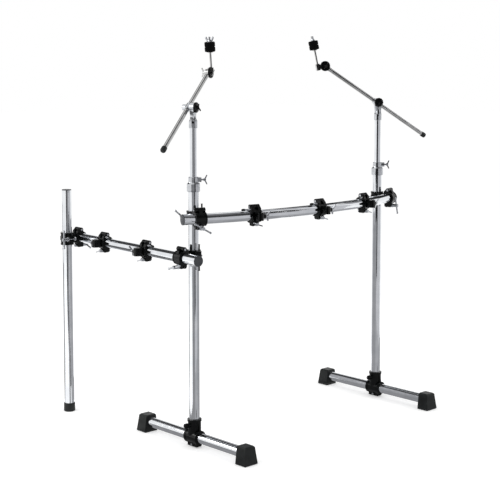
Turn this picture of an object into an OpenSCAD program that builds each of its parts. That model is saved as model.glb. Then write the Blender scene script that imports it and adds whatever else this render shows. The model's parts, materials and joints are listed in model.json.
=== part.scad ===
// Drum rack frame: two T-legs joined by a bowed front bar, a side wing on a third post,
// right-angle clamps at the posts, accessory clamps on the bars and two cymbal booms.
// Units are millimetres. +Z is up, the drummer sits on the +Y side, the bowed bar faces -Y.

/* [Layout] */
// Distance between the two leg posts
post_spacing = 1000; // [900:10:1100]
// Bend radius of the bowed front bar, to its centre line
front_bar_radius = 1650; // [1400:10:2200]
// Height of the front bar above the floor
front_bar_height = 838; // [800:1:860]
// Height of the side bar above the floor
side_bar_height = 697; // [600:1:720]
// Distance from the middle post to the end post, along the side bar
side_bar_run = 692; // [640:1:760]
// Angle that the side wing is turned about the middle post, from square
side_wing_turn = -4; // [-6:0.1:4]
// Top of the two leg tubes
leg_top = 945; // [935:1:970]
// Top of the end post
end_post_top = 889; // [800:1:950]
// Distance from the middle post to the origin, along the leg posts' line
origin_x = 497; // [300:1:700]
// Distance from the middle post to the origin, towards the drummer
origin_y = 219; // [100:1:400]

/* [Tubes] */
// Outer diameter of the rack tubes
tube_d = 38.1; // [36:0.1:40]
// Wall of the rack tubes
tube_wall = 1.6; // [1.2:0.1:2.5]
// Front bar past its left clamp's centre
front_bar_left_overhang = 62; // [40:1:90]
// Front bar past its right clamp's centre
front_bar_right_overhang = 24; // [23:1:60]
// Side bar past its clamp on the middle post
side_bar_near_overhang = 98; // [60:1:120]
// Side bar past its clamp on the end post
side_bar_far_overhang = 26; // [25:1:60]
// Thickness of the caps' discs on the bars' ends
cap_disc = 4; // [3:0.5:6]
// Depth of the caps' spigots inside the bars
cap_spigot = 12; // [8:1:20]
// Clearance round a tube that is clamped or guided
tube_fit = 0.08; // [0.05:0.01:0.1]

/* [T-legs] */
// Height of the cross tubes' centre line
cross_tube_height = 38; // [36:0.5:42]
// Length over the two rubber feet of one leg
leg_base_length = 600; // [540:10:680]
// Length of a rubber foot along the cross tube
foot_length = 50; // [46:1:60]
// Width of a rubber foot at the floor
foot_width = 61; // [58:1:70]
// Height of a rubber foot
foot_height = 66; // [64:1:72]
// Depth of a rubber foot's socket
foot_socket = 40; // [30:1:42]
// Top of the T-joint's upright socket
t_socket_top = 104; // [95:1:120]
// Outer radius of the T-joint's sleeves
t_sleeve_r = 25; // [24:0.5:26]
// Length of the T-joint's sleeve on the cross tube
t_sleeve_length = 64; // [58:1:80]
// Height of the leg tube's lower end
leg_tube_bottom = 62; // [60.5:0.5:68]
// Floor clearance under the T-joint's lug
t_lug_clearance = 4; // [3:0.5:8]
// Width of the T-joint's lug across its slot
t_lug_width = 24; // [20:1:28]
// Radius of the bolt through the T-joint's lug
lug_bolt_r = 3; // [2.5:0.25:4]
// Radius of the knob's bolt in the T-joint
knob_bolt_r = 4; // [3:0.25:5]
// Radius of the knob's boss on the T-joint
knob_boss_r = 8; // [7:0.5:9]
// Drop of the knob below the T-joint's top
knob_drop = 20; // [16:1:24]

/* [End post] */
// Radius of the end post's rubber foot
post_foot_r = 23; // [22:0.5:27]
// Height of the end post's rubber foot
post_foot_height = 34; // [28:1:50]
// Thickness of the rubber under the end post
post_foot_sole = 9; // [6:0.5:14]

/* [Clamps] */
// Distance between a post's centre line and the bar's that it carries
clamp_offset = 54; // [53:0.5:60]
// Outer radius of a clamp's sleeve
sleeve_r = 26; // [25:0.5:26.4]
// Width of a clamp's sleeve along its bar
sleeve_length = 42; // [38:1:46]
// Gap between the two halves of a sleeve
split_gap = 1.6; // [1:0.1:3]
// Height of the hinge pin above the bar
hinge_rise = 32; // [31.5:0.5:34]
// Radius of the hinge knuckles
knuckle_r = 8.5; // [8:0.25:9]
// Radius of a hinge pin
hinge_pin_r = 3; // [2:0.25:3.5]
// Distance of the clamp bolt below the bar
bolt_drop = 31; // [30.5:0.5:33]
// Radius of the clamp bolts
clamp_bolt_r = 4; // [3:0.25:4.5]
// Thickness of a clamp's bolt lug on each side of the split
lug_depth = 13; // [11:0.5:16]
// Length of the cross bar on a T-bolt
t_bar_length = 66; // [55:1:80]
// Radius of the cross bar on a T-bolt
t_bar_r = 3.2; // [2.5:0.1:3.6]
// Radius of the round tips on a T-bolt's cross bar
t_tip_r = 4.3; // [3.8:0.1:5]
// Radius of a T-bolt's hub
t_hub_r = 6.5; // [6:0.25:7.5]
// Radius of the flats that the clamps' nuts and hubs bear on
bolt_seat_r = 9; // [8.5:0.25:9]
// Radius over the corners of a clamp's nut
clamp_nut_r = 7; // [6:0.25:8]
// Thickness of a clamp's nut
clamp_nut = 6; // [4:0.5:8]
// Half height of the sleeve round a post
post_sleeve_half = 24; // [20:1:26]
// Length of the upright hinge pin beside a post
post_pin_length = 92; // [60:1:100]

/* [Accessory clamps] */
// Angle of the front bar's left clamp from the bar's middle
front_a_angle = -10.6; // [-12:0.05:-7]
// Angle of the front bar's middle clamp from the bar's middle
front_b_angle = 0.3; // [-3:0.05:3]
// Angle of the front bar's right clamp from the bar's middle
front_c_angle = 10.05; // [7:0.05:12]
// Distance of the side bar's far clamp from the middle post
side_a_run = 501; // [400:1:560]
// Distance of the side bar's near clamp from the middle post
side_b_run = 218; // [140:1:320]
// Bore for an accessory rod
rod_bore_r = 6.5; // [6:0.1:8]
// Distance of the rod bore from the bar's centre line
rod_offset = 43; // [41:0.5:46]
// Height of the rod holder
rod_holder_height = 30; // [28:1:40]
// Wall of the rod holder round its bore
holder_wall = 5.5; // [4:0.5:7]
// Radius of the wing bolts' hubs on an accessory clamp
wing_hub_r = 7; // [6:0.25:7.5]
// Reach of the wings on an accessory clamp's bolts
wing_reach = 19; // [14:1:22]
// Width of the rod holder along the bar
rod_holder_width = 26; // [24:1:34]

/* [Leg collars] */
// Outer radius of the collar on a leg
collar_r = 24; // [23:0.5:27]
// Length of the collar's skirt down the leg tube
collar_skirt = 15; // [10:1:25]
// Height of the collar above the leg tube's end
collar_rise = 18; // [12:1:25]
// Height of the collar's neck
collar_neck = 20; // [14:1:28]
// Radius of the collars' wing bolts
collar_bolt_r = 3; // [2.5:0.25:4]
// Direction of the collars' wing bolts
collar_bolt_azimuth = -42; // [-180:1:180]

/* [Booms] */
// Outer diameter of a boom's upper tube
upper_tube_d = 25.4; // [22:0.1:26]
// Wall of a boom's upper tube
upper_tube_wall = 1.5; // [1.2:0.1:2]
// Height of the boom tilters' pivots
pivot_height = 1229; // [1150:1:1300]
// Drop from the pivot to the upper tube's end
pivot_drop = 46; // [44:1:60]
// Length of a boom's upper tube
upper_tube_length = 490; // [400:10:560]
// Diameter of the boom arms
arm_d = 15.9; // [14:0.1:16.5]
// Distance of a boom arm from its tube's centre line
arm_offset = 19; // [18.9:0.1:22]
// Rise of the boom arms above level
arm_rise = 33.5; // [20:1:45]
// Heading of the left boom arm
left_boom_heading = 25.5; // [-180:0.5:180]
// Heading of the right boom arm
right_boom_heading = 150; // [-180:0.5:180]
// Length of the left boom arm above its pivot
left_arm_reach = 222; // [180:1:280]
// Length of the right boom arm above its pivot
right_arm_reach = 268; // [180:1:280]
// Length of a boom arm below its pivot, with its tip
arm_tail = 258; // [200:1:280]
// Length of the rubber tip on a boom arm
arm_tip_length = 20; // [18:1:32]
// Half thickness of a boom tilter's cheek
yoke_half = 7; // [6:0.5:7.5]
// Radius of the boom tilters' pivot bolts
pivot_bolt_r = 4; // [3.5:0.25:5]
// Radius of the boom tilters' black discs
tilter_disc_r = 18.5; // [17:0.5:20]
// Depth of the boom tilters' black discs
tilter_disc_depth = 9; // [7:0.5:11]
// Half thickness of the knuckle on a boom arm's end
knuckle_half = 5; // [4:0.5:6]
// Radius of the cymbal tilters' pivot bolts
cymbal_pivot_r = 3; // [2.5:0.25:4]
// Radius of the cymbal tilters' black discs
cymbal_disc_r = 20.5; // [17:0.5:22]
// Depth of the cymbal tilters' black discs
cymbal_disc_depth = 8; // [6:0.5:10]
// Thickness of the cymbal rods' brackets
bracket_depth = 6; // [5:0.5:8]
// Lean of the left cymbal rod
left_rod_lean = -9; // [-30:1:30]
// Lean of the right cymbal rod
right_rod_lean = 12; // [-30:1:30]
// Diameter of the cymbal rods
cymbal_rod_d = 8; // [6:0.1:8.5]
// Slant of the bar on the left cymbal tilter's bolt
left_head_slant = -40; // [-90:5:90]
// Slant of the bar on the right cymbal tilter's bolt
right_head_slant = 40; // [-90:5:90]
// Height of the cymbal rods above their pivots
cymbal_rod_length = 128; // [120:1:140]
// Height from a cymbal pivot to the felts
felt_seat = 73; // [60:1:80]
// Diameter of the cymbal felts
felt_d = 39; // [30:1:42]
// Thickness of one cymbal felt
felt_height = 18; // [12:1:18]

/* [Hidden] */

$fn = 64;
chrome = [0.82, 0.83, 0.85];
cast_black = [0.09, 0.09, 0.1];
rubber_black = [0.05, 0.05, 0.05];
cap_grey = [0.2, 0.21, 0.22];
cut = 1;
seat_gap = 0.3;
seat_plane = 0.02;
slide_fit = 0.05;
bolt_fit = 0.1;
holder_boss = 6;
small_hub_r = 5.5;
small_wing = 16;

tube_r = tube_d / 2;
tube_bore_r = tube_r - tube_wall;
guide_r = tube_r + tube_fit;
post_circle_r = front_bar_radius - clamp_offset;
post_angle = asin(post_spacing / 2 / post_circle_r);
bow_centre_y = sqrt(post_circle_r * post_circle_r - post_spacing * post_spacing / 4);
left_bar_angle = post_angle + front_bar_left_overhang / front_bar_radius * 180 / PI;
right_bar_angle = post_angle + front_bar_right_overhang / front_bar_radius * 180 / PI;
leg_places = [0, post_spacing];
upper_tube_r = upper_tube_d / 2;
collar_top = leg_top + collar_rise + collar_neck;
arm_r = arm_d / 2;
rod_r = cymbal_rod_d / 2;
tube_end_z = pivot_height - pivot_drop;
bracket_near = knuckle_half + seat_gap;
rod_block_near = cymbal_disc_r + seat_gap;
rod_forward = rod_block_near + rod_r + 3.2;
lug_near = lug_depth + seat_gap;
lug_bolt_z = t_lug_clearance + 2 * lug_bolt_r + 0.5;
knob_z = t_socket_top - knob_drop;
knob_boss_reach = 8;

// Frames that carry the pieces

module rack() {
  translate([-origin_x, -origin_y, 0]) children();
}

// Frame on the bowed bar: +X runs along the bar, -Y points out of the bow
module on_front_bar(angle) {
  translate([post_spacing / 2, bow_centre_y, front_bar_height])
    rotate([0, 0, angle]) translate([0, -front_bar_radius, 0]) children();
}

module on_side_wing() {
  rotate([0, 0, side_wing_turn]) children();
}

// Frame on the side bar: +X runs along the bar towards the audience, -Y points away from the kit
module on_side_bar(run) {
  on_side_wing() translate([-clamp_offset, run, side_bar_height]) rotate([0, 0, -90]) children();
}

// The same frame turned round, for the clamp whose post stands on the outer side
module on_side_bar_end(run) {
  on_side_wing() translate([-clamp_offset, run, side_bar_height]) rotate([0, 0, 90]) children();
}

// Small shapes that repeat

module along_x(length, r) {
  rotate([0, 90, 0]) cylinder(h = length, r = r, center = true);
}

module along_y(length, r) {
  rotate([90, 0, 0]) cylinder(h = length, r = r, center = true);
}

module tube(length, outer, bore) {
  difference() {
    cylinder(h = length, r = outer);
    translate([0, 0, -cut]) cylinder(h = length + 2 * cut, r = bore);
  }
}

// Straight stand-in for the bar inside a clamp, centred on the clamp
module straight_core(r) {
  along_x(6 * sleeve_length, r);
}

// Bent stand-in for the bowed bar, in the frame of a clamp on it
module bent_core(r) {
  half = 3 * sleeve_length / front_bar_radius * 180 / PI;
  translate([0, front_bar_radius, 0]) rotate([0, 0, -90 - half])
    rotate_extrude(angle = 2 * half, $fn = 1080) translate([front_bar_radius, 0]) circle(r = r, $fn = 64);
}

module bar_core(bent, r) {
  if (bent) bent_core(r);
  else straight_core(r);
}

// Flat wing with a round tip, in the XZ plane, leaning out from the shank
module wing_blade(reach, height, thickness) {
  tip_r = height / 3.4;
  rotate([90, 0, 0]) translate([0, 0, -thickness / 2]) linear_extrude(thickness) union() {
    polygon([[-height / 2.4, 0], [height / 2.4, 0], [height + tip_r * 0.9, reach - tip_r * 0.9],
      [height - tip_r * 0.7, reach + tip_r * 0.35]]);
    translate([height, reach - tip_r * 0.35]) circle(r = tip_r, $fn = 32);
  }
}

// Wing bolt along +X: the shank starts at the origin and the wings open past its end
module wing_bolt(shank, r, hub_r, wing_reach) {
  hub = hub_r * 1.7;
  union() {
    rotate([0, 90, 0]) cylinder(h = shank + 0.5, r = r, $fn = 32);
    translate([shank, 0, 0]) rotate([0, 90, 0]) cylinder(h = hub, r1 = hub_r, r2 = hub_r * 0.8, $fn = 32);
    for (side = [0, 180]) translate([shank + hub * 0.45, 0, 0]) rotate([side, 0, 0])
      wing_blade(wing_reach, hub_r * 1.35, hub_r * 0.55);
  }
}

// T-bolt along +X: a plain shank, a hub with a rim and a cross bar with round tips, turned by roll
module t_bolt(shank, hub, roll) {
  rim = 3;
  union() {
    rotate([0, 90, 0]) cylinder(h = shank + 0.5, r = clamp_bolt_r, $fn = 32);
    translate([shank, 0, 0]) rotate([0, 90, 0]) {
      cylinder(h = rim, r = bolt_seat_r - 0.5, $fn = 32);
      cylinder(h = hub, r = t_hub_r, $fn = 32);
    }
    translate([shank + hub - t_hub_r, 0, 0]) rotate([roll, 0, 0]) {
      cylinder(h = t_bar_length, r = t_bar_r, center = true, $fn = 32);
      for (side = [-1, 1]) translate([0, 0, side * t_bar_length / 2]) sphere(r = t_tip_r, $fn = 24);
    }
  }
}

// T-legs

module leg_tube() {
  color(chrome) translate([0, 0, leg_tube_bottom]) tube(leg_top - leg_tube_bottom, tube_r, tube_bore_r);
}

module t_joint() {
  lug_length = t_sleeve_length - 14;
  slot = 3;
  rib = 7;
  lip = 4;
  color(cast_black) difference() {
    union() {
      translate([0, 0, cross_tube_height]) along_y(t_sleeve_length, t_sleeve_r);
      translate([0, 0, cross_tube_height]) cylinder(h = t_socket_top - cross_tube_height, r = t_sleeve_r - 1);
      translate([0, 0, t_socket_top - lip * 2]) cylinder(h = lip * 2, r = t_sleeve_r + 1);
      for (side = [-1, 1]) translate([0, side * (t_sleeve_length / 2 - lip), cross_tube_height])
        along_y(lip * 2, t_sleeve_r + 1.5);
      translate([-rib / 2, 0, 0]) rotate([90, 0, 90]) linear_extrude(rib)
        polygon([[-t_sleeve_length / 2, cross_tube_height], [t_sleeve_length / 2, cross_tube_height],
          [t_sleeve_length / 2 - 2, cross_tube_height + t_sleeve_r + 4], [t_sleeve_r, t_socket_top - 8],
          [-t_sleeve_r, t_socket_top - 8], [-t_sleeve_length / 2 + 2, cross_tube_height + t_sleeve_r + 4]]);
      translate([-t_lug_width / 2, -lug_length / 2, t_lug_clearance])
        cube([t_lug_width, lug_length, cross_tube_height - t_lug_clearance]);
      translate([-t_sleeve_r - knob_boss_reach, 0, knob_z]) rotate([0, 90, 0])
        cylinder(h = t_sleeve_r, r = knob_boss_r, $fn = 32);
    }
    translate([0, 0, cross_tube_height]) along_y(t_sleeve_length + 2 * cut, guide_r);
    translate([0, 0, leg_tube_bottom - seat_plane]) cylinder(h = t_socket_top, r = guide_r);
    translate([-slot / 2, -t_sleeve_length, t_lug_clearance - cut])
      cube([slot, 2 * t_sleeve_length, cross_tube_height - t_lug_clearance]);
    translate([0, 0, lug_bolt_z]) along_x(2 * t_lug_width, lug_bolt_r + bolt_fit);
    translate([-2 * t_sleeve_r, 0, knob_z]) rotate([0, 90, 0])
      cylinder(h = 2 * t_sleeve_r, r = knob_bolt_r + bolt_fit, $fn = 32);
  }
}

module cross_tube() {
  length = leg_base_length - 2 * (foot_length - foot_socket) - 2 * seat_gap;
  color(chrome) translate([0, length / 2, cross_tube_height]) rotate([90, 0, 0])
    tube(length, tube_r, tube_bore_r);
}

// Rubber foot: tapered on all sides, with a blind socket for the cross tube and a grooved sole
module rubber_foot() {
  top_width = foot_width - 16;
  end_lean = 7;
  edge = 3;
  groove = 4;
  color(rubber_black) difference() {
    intersection() {
      rotate([90, 0, 0]) translate([0, 0, -foot_length]) linear_extrude(foot_length) polygon([
        [-foot_width / 2 + edge, 0], [foot_width / 2 - edge, 0], [foot_width / 2, edge],
        [top_width / 2 + 1, foot_height - 5], [top_width / 2 - 4, foot_height],
        [-top_width / 2 + 4, foot_height], [-top_width / 2 - 1, foot_height - 5], [-foot_width / 2, edge]]);
      rotate([90, 0, 90]) translate([0, 0, -foot_width]) linear_extrude(2 * foot_width) polygon([
        [0, 0], [foot_length - edge, 0], [foot_length, edge],
        [foot_length - end_lean, foot_height - 4], [foot_length - end_lean - 4, foot_height],
        [2, foot_height], [0, foot_height - 3]]);
    }
    translate([0, -cut, cross_tube_height]) rotate([-90, 0, 0]) cylinder(h = foot_socket + cut, r = guide_r);
    for (i = [1:3]) translate([-foot_width, i * foot_length / 4 - groove / 2, -cut])
      cube([2 * foot_width, groove, cut + 1.5]);
  }
}

module rubber_feet() {
  reach = leg_base_length / 2 - foot_length;
  for (place = leg_places, side = [0, 1]) translate([place, 0, 0]) mirror([0, side, 0])
    translate([0, reach, 0]) rubber_foot();
}

module t_joint_bolts() {
  nut = 4;
  nut_r = 5;
  knob_shank = t_sleeve_r - tube_r + knob_boss_reach + seat_gap;
  knob_r = 6.5;
  knob_depth = 7;
  color(chrome) for (place = leg_places) translate([place, 0, 0]) {
    translate([0, 0, lug_bolt_z]) along_x(t_lug_width + 2 * nut - 2, lug_bolt_r);
    for (side = [-1, 1]) translate([side * ((t_lug_width + nut) / 2 + bolt_fit), 0, lug_bolt_z])
      along_x(nut, nut_r, $fn = 6);
    translate([-tube_r - seat_gap, 0, knob_z]) rotate([0, 0, 180]) rotate([0, 90, 0]) {
      cylinder(h = knob_shank + knob_depth, r = knob_bolt_r, $fn = 32);
      translate([0, 0, knob_shank]) cylinder(h = knob_depth, r = knob_r, $fn = 32);
      translate([0, 0, knob_shank + knob_depth]) cylinder(h = 3, r1 = knob_r, r2 = knob_bolt_r, $fn = 32);
    }
  }
}

module collar() {
  skirt_bottom = leg_top - collar_skirt;
  neck_bottom = leg_top + collar_rise;
  boss = 9;
  boss_z = neck_bottom + collar_neck / 2;
  boss_reach = upper_tube_r + 16;
  color(chrome) difference() {
    union() {
      rotate_extrude() polygon([[0, skirt_bottom], [collar_r - 1.5, skirt_bottom], [collar_r, skirt_bottom + 1.5],
        [collar_r, neck_bottom - 5], [collar_r - 5, neck_bottom], [upper_tube_r + 6, neck_bottom + 1.5],
        [upper_tube_r + 5.5, collar_top - 1.5], [upper_tube_r + 4, collar_top], [0, collar_top]]);
      translate([0, 0, boss_z]) rotate([0, 0, collar_bolt_azimuth]) rotate([0, 90, 0])
        cylinder(h = boss_reach, r = boss, $fn = 32);
    }
    translate([0, 0, skirt_bottom - cut]) cylinder(h = leg_top - skirt_bottom + cut + seat_plane, r = guide_r);
    translate([0, 0, leg_top - cut]) cylinder(h = collar_top, r = upper_tube_r + slide_fit);
    translate([0, 0, boss_z]) rotate([0, 0, collar_bolt_azimuth]) rotate([0, 90, 0])
      cylinder(h = boss_reach + cut, r = collar_bolt_r + slide_fit, $fn = 32);
  }
}

module leg_collars() {
  for (place = leg_places) translate([place, 0, 0]) collar();
}

module collar_bolt() {
  color(chrome) translate([0, 0, leg_top + collar_rise + collar_neck / 2]) rotate([0, 0, collar_bolt_azimuth])
    translate([upper_tube_r + seat_gap, 0, 0]) wing_bolt(upper_tube_r + 10, collar_bolt_r, small_hub_r, small_wing);
}

// Bars and end post

module front_bar() {
  color(chrome) translate([post_spacing / 2, bow_centre_y, front_bar_height])
    rotate([0, 0, -90 - left_bar_angle])
      rotate_extrude(angle = left_bar_angle + right_bar_angle, $fn = 720) translate([front_bar_radius, 0])
        difference() {
          circle(r = tube_r, $fn = 64);
          circle(r = tube_bore_r, $fn = 64);
        }
}

// Plug in a tube's end: a crowned disc against the end and a spigot inside, along +X
module tube_cap() {
  rotate([0, 90, 0]) rotate_extrude() polygon([
    [0, -cap_spigot], [tube_bore_r - 1.2, -cap_spigot], [tube_bore_r - tube_fit, -cap_spigot + 2],
    [tube_bore_r - tube_fit, seat_plane], [tube_r + 0.4, seat_plane], [tube_r + 0.4, cap_disc - 1.4],
    [tube_r - 1, cap_disc], [0, cap_disc + 0.8]]);
}

module front_bar_caps() {
  color(cap_grey) {
    on_front_bar(-left_bar_angle) rotate([0, 0, 180]) tube_cap();
    on_front_bar(right_bar_angle) tube_cap();
  }
}

module side_bar() {
  length = side_bar_near_overhang + side_bar_run + side_bar_far_overhang;
  color(chrome) on_side_bar(-side_bar_near_overhang) rotate([0, -90, 0]) tube(length, tube_r, tube_bore_r);
}

module side_bar_caps() {
  color(cap_grey) {
    on_side_bar(-side_bar_near_overhang) tube_cap();
    on_side_bar(side_bar_run + side_bar_far_overhang) rotate([0, 0, 180]) tube_cap();
  }
}

module at_end_post() {
  on_side_wing() translate([-2 * clamp_offset, side_bar_run, 0]) children();
}

module end_post() {
  color(chrome) at_end_post() translate([0, 0, post_foot_sole])
    tube(end_post_top - post_foot_sole, tube_r, tube_bore_r);
}

module end_post_caps() {
  at_end_post() {
    color(rubber_black) difference() {
      rotate_extrude() polygon([[0, 0], [post_foot_r - 2.5, 0], [post_foot_r, 2.5],
        [post_foot_r - 0.8, post_foot_height - 1.5], [post_foot_r - 2.3, post_foot_height], [0, post_foot_height]]);
      translate([0, 0, post_foot_sole - seat_plane]) cylinder(h = post_foot_height, r = guide_r);
    }
    color(cap_grey) translate([0, 0, end_post_top]) rotate_extrude() polygon([
      [0, -cap_spigot], [tube_bore_r - tube_fit, -cap_spigot], [tube_bore_r - tube_fit, seat_plane],
      [tube_r, seat_plane], [tube_r, 1.6], [tube_r - 1.4, 3], [0, 3]]);
  }
}

// Clamp halves. A half lies on the +Y side of the split, with its bar along X, its hinge
// above the bar and its bolt lug below.

module half_sleeve(length, r) {
  rim = 5;
  intersection() {
    union() {
      along_x(length, r - 1);
      for (side = [-1, 1]) translate([side * (length - rim) / 2, 0, 0]) along_x(rim, r);
    }
    translate([-length, split_gap / 2, -2 * r]) cube([2 * length, 2 * r, 4 * r]);
  }
}

// Knuckle of the hinge, from x1 to x2, with its foot on the sleeve
module knuckle(x1, x2) {
  translate([x1, 0, 0]) rotate([90, 0, 90]) linear_extrude(x2 - x1) {
    polygon([[split_gap / 2, tube_r - 1], [19, tube_r * 0.75], [16, hinge_rise - 5],
      [knuckle_r * 0.75, hinge_rise + knuckle_r * 0.55], [0, hinge_rise], [split_gap / 2, hinge_rise - 2]]);
    translate([0, hinge_rise]) circle(r = knuckle_r, $fn = 48);
  }
}

// Space that the other half's knuckle turns in
module knuckle_relief(x1, x2) {
  translate([x1, 0, hinge_rise]) rotate([0, 90, 0]) cylinder(h = x2 - x1, r = knuckle_r + seat_gap, $fn = 48);
}

// Forked lug under the bar, open below for the swing bolt
module bolt_lug(width) {
  foot = -bolt_drop - 7;
  slot = 2 * (clamp_bolt_r + seat_gap);
  difference() {
    translate([-width / 2, 0, 0]) rotate([90, 0, 90]) linear_extrude(width)
      polygon([[split_gap / 2, -tube_r * 0.7], [sleeve_r - 5, -tube_r * 0.7], [lug_depth, -bolt_drop + bolt_seat_r],
        [lug_depth, -bolt_drop - 4], [lug_depth - 3, foot], [split_gap / 2 + 1, foot], [split_gap / 2, foot + 2]]);
    translate([-slot / 2, -cut, foot - cut]) cube([slot, sleeve_r, -bolt_drop - foot + cut]);
    translate([0, 0, -bolt_drop]) along_y(4 * lug_depth, slot / 2);
  }
}

// Half of a bar clamp that carries the two outer knuckles
module fixed_half(length) {
  middle = length / 6;
  difference() {
    union() {
      half_sleeve(length, sleeve_r);
      for (side = [0, 1]) mirror([side, 0, 0]) knuckle(middle + seat_gap, length / 2 - 1);
      bolt_lug(26);
    }
    knuckle_relief(-middle - seat_gap, middle + seat_gap);
    translate([0, 0, hinge_rise]) along_x(2 * length, hinge_pin_r + slide_fit);
  }
}

// Swinging half of a bar clamp, with the middle knuckle
module swing_half(length) {
  middle = length / 6;
  difference() {
    union() {
      half_sleeve(length, sleeve_r);
      knuckle(-middle, middle);
      bolt_lug(22);
    }
    for (side = [0, 1]) mirror([side, 0, 0]) knuckle_relief(middle, length / 2 + cut);
    translate([0, 0, hinge_rise]) along_x(2 * length, hinge_pin_r + slide_fit);
  }
}

module hinge_pin(length) {
  head = 1.5;
  translate([0, 0, hinge_rise]) {
    along_x(length, hinge_pin_r);
    for (side = [-1, 1]) translate([side * (length + head) / 2, 0, 0]) along_x(head, hinge_pin_r + 1.2);
  }
}

// Swing bolt of a clamp: a nut against the fixed half's lug, and a T-bar past the other half's
module clamp_t_bolt(roll) {
  hub = sleeve_r + t_tip_r + t_hub_r + 2 - lug_near;
  translate([0, lug_near, -bolt_drop]) {
    translate([0, clamp_nut / 2, 0]) along_y(clamp_nut, clamp_nut_r, $fn = 6);
    rotate([0, 0, -90]) t_bolt(2 * lug_near, hub, roll);
  }
}

// Right-angle clamps. The bar runs along X through the origin and the post stands clamp_offset behind it.

// Turns a half clamp round so that it holds the post, with its hinge towards +X
module on_post() {
  translate([0, clamp_offset, 0]) rotate(a = 180, v = [1, 0, 1]) children();
}

module post_clamp(bent) {
  web = 17;
  color(cast_black) difference() {
    union() {
      fixed_half(sleeve_length);
      on_post() fixed_half(2 * post_sleeve_half);
      translate([-web, tube_r, -web]) cube([2 * web, clamp_offset - 2 * tube_r, 2 * web]);
    }
    bar_core(bent, guide_r);
    translate([0, clamp_offset, -3 * post_sleeve_half]) cylinder(h = 6 * post_sleeve_half, r = guide_r);
  }
}

module post_clamp_jaws(bent) {
  color(cast_black) {
    difference() {
      mirror([0, 1, 0]) swing_half(sleeve_length);
      bar_core(bent, guide_r);
    }
    difference() {
      on_post() mirror([0, 1, 0]) swing_half(2 * post_sleeve_half);
      translate([0, clamp_offset, -3 * post_sleeve_half]) cylinder(h = 6 * post_sleeve_half, r = guide_r);
    }
    on_post() hinge_pin(post_pin_length);
  }
}

module post_clamp_bolts(bar_roll, post_roll) {
  color(chrome) {
    hinge_pin(sleeve_length);
    clamp_t_bolt(bar_roll);
    on_post() clamp_t_bolt(post_roll);
  }
}

module mid_front_frame() {
  on_front_bar(-post_angle) children();
}

module right_front_frame() {
  on_front_bar(post_angle) children();
}

module front_clamp_jaws() {
  mid_front_frame() post_clamp_jaws(true);
  right_front_frame() post_clamp_jaws(true);
}

module front_clamp_bolts() {
  mid_front_frame() post_clamp_bolts(60, 42);
  right_front_frame() post_clamp_bolts(20, 10);
}

module side_clamp_jaws() {
  on_side_bar(0) post_clamp_jaws(false);
  on_side_bar_end(side_bar_run) post_clamp_jaws(false);
}

module side_clamp_bolts() {
  on_side_bar(0) post_clamp_bolts(-75, 0);
  on_side_bar_end(side_bar_run) post_clamp_bolts(-72, 90);
}

// Accessory clamps. The rod holder points away from the drummer, along -Y.

// The side bar's clamps have the holder's wing bolt towards the end post
module on_side_clamp(run) {
  on_side_bar(run) mirror([1, 0, 0]) children();
}

module accessory_clamp(bent) {
  end_r = rod_bore_r + holder_wall;
  boss_r = 8;
  color(cast_black) difference() {
    union() {
      rotate([0, 0, 180]) fixed_half(sleeve_length);
      translate([-rod_holder_width / 2, -rod_offset, -rod_holder_height / 2])
        cube([rod_holder_width, rod_offset - tube_r, rod_holder_height]);
      translate([0, -rod_offset, -rod_holder_height / 2]) cylinder(h = rod_holder_height, r = end_r);
      translate([0, -rod_offset, 0]) rotate([0, 90, 0])
        cylinder(h = rod_holder_width / 2 + holder_boss, r = boss_r, $fn = 32);
    }
    bar_core(bent, guide_r);
    translate([0, -rod_offset, -rod_holder_height]) cylinder(h = 2 * rod_holder_height, r = rod_bore_r);
    translate([0, -rod_offset, 0]) rotate([0, 90, 0])
      cylinder(h = 2 * rod_holder_width, r = clamp_bolt_r + slide_fit, $fn = 32);
  }
}

module accessory_jaw(bent) {
  color(cast_black) difference() {
    swing_half(sleeve_length);
    bar_core(bent, guide_r);
  }
}

module accessory_bolts() {
  color(chrome) {
    hinge_pin(sleeve_length);
    translate([0, lug_near, -bolt_drop]) {
      translate([0, clamp_nut / 2, 0]) along_y(clamp_nut, clamp_nut_r, $fn = 6);
      rotate([70, 0, -90]) wing_bolt(2 * lug_near, clamp_bolt_r, wing_hub_r, wing_reach);
    }
    translate([rod_bore_r + seat_gap, -rod_offset, 0]) rotate([25, 0, 0])
      wing_bolt(rod_holder_width / 2 + holder_boss + 2 - rod_bore_r, clamp_bolt_r, wing_hub_r, wing_reach);
  }
}

// Booms. In a boom's frame +X is the heading of its arm, the arm lies towards +Y, and the pivot
// runs along Y at pivot_height above the floor.

module boom(place, heading, flip) {
  translate([place, 0, 0]) rotate([0, 0, heading]) mirror([0, flip, 0]) children();
}

module left_boom() {
  boom(0, left_boom_heading, 0) children();
}

module right_boom() {
  boom(post_spacing, right_boom_heading, 1) children();
}

module at_pivot() {
  translate([0, 0, pivot_height]) children();
}

// Frame along a boom arm, from its pivot: +X runs up the arm
module along_arm() {
  at_pivot() translate([0, arm_offset, 0]) rotate([0, -arm_rise, 0]) children();
}

// Frame at a cymbal tilter's pivot, upright but for the rod's lean
module at_cymbal(reach, lean) {
  along_arm() translate([reach, 0, 0]) rotate([0, arm_rise + lean, 0]) children();
}

module upper_tube() {
  color(chrome) translate([0, 0, tube_end_z - upper_tube_length])
    tube(upper_tube_length, upper_tube_r, upper_tube_r - upper_tube_wall);
}

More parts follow.
